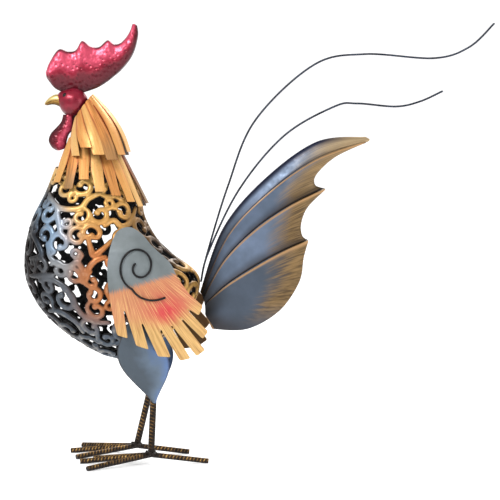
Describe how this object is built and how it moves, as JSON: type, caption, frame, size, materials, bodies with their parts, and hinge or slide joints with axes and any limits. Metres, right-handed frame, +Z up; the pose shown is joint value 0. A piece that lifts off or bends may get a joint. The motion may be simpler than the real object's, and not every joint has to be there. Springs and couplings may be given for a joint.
{
  "type": "scrap metal rooster sculpture",
  "caption": "Standing metal rooster ornament: openwork scroll body, sheet wings and fluted tail, slit-sheet hackle, hammered red comb, wire plumes and ribbed rod legs.",
  "frame": {"origin": "centre of the bounding box at floor level, on the bird's middle plane", "axes": "+X towards the tail along the bird's length, +Y towards its right side, +Z up"},
  "size_m": [0.4678, 0.1443, 0.4357],
  "materials": {
    "red": "metallic crimson enamel over hammered sheet",
    "gold": "worn gold paint",
    "black": "black paint",
    "hackle": "pale gold to orange paint with reddish creases",
    "scroll": "dry-brushed gold, copper and steel blue over black",
    "wing": "grey blue fading through coral to pale gold",
    "thigh": "grey-blue paint",
    "tail": "brushed steel blue with bronze along the edges",
    "wire": "dark grey-blue paint",
    "rod": "black-brown rod with gold dry-brushed ribs"
  },
  "bodies": {
    "root": {"comb": "red", "head": "red", "wattle": "red", "beak": "gold", "eye_left": "black", "eye_right": "black", "neck": "black", "hackle_upper": "hackle", "hackle_lower": "hackle", "body_left": "scroll", "body_right": "scroll", "wing_left": "wing", "wing_right": "wing", "wing_spiral_left": "black", "wing_spiral_right": "black", "thigh_left": "thigh", "thigh_right": "thigh", "tail_left": "tail", "tail_right": "tail", "plume_upper": "wire", "plume_lower": "wire", "leg_left": "rod", "leg_right": "rod", "toe_left_outer": "rod", "toe_left_middle": "rod", "toe_left_inner": "rod", "toe_left_back": "rod", "toe_right_outer": "rod", "toe_right_middle": "rod", "toe_right_inner": "rod", "toe_right_back": "rod"}
  },
  "joints": []
}
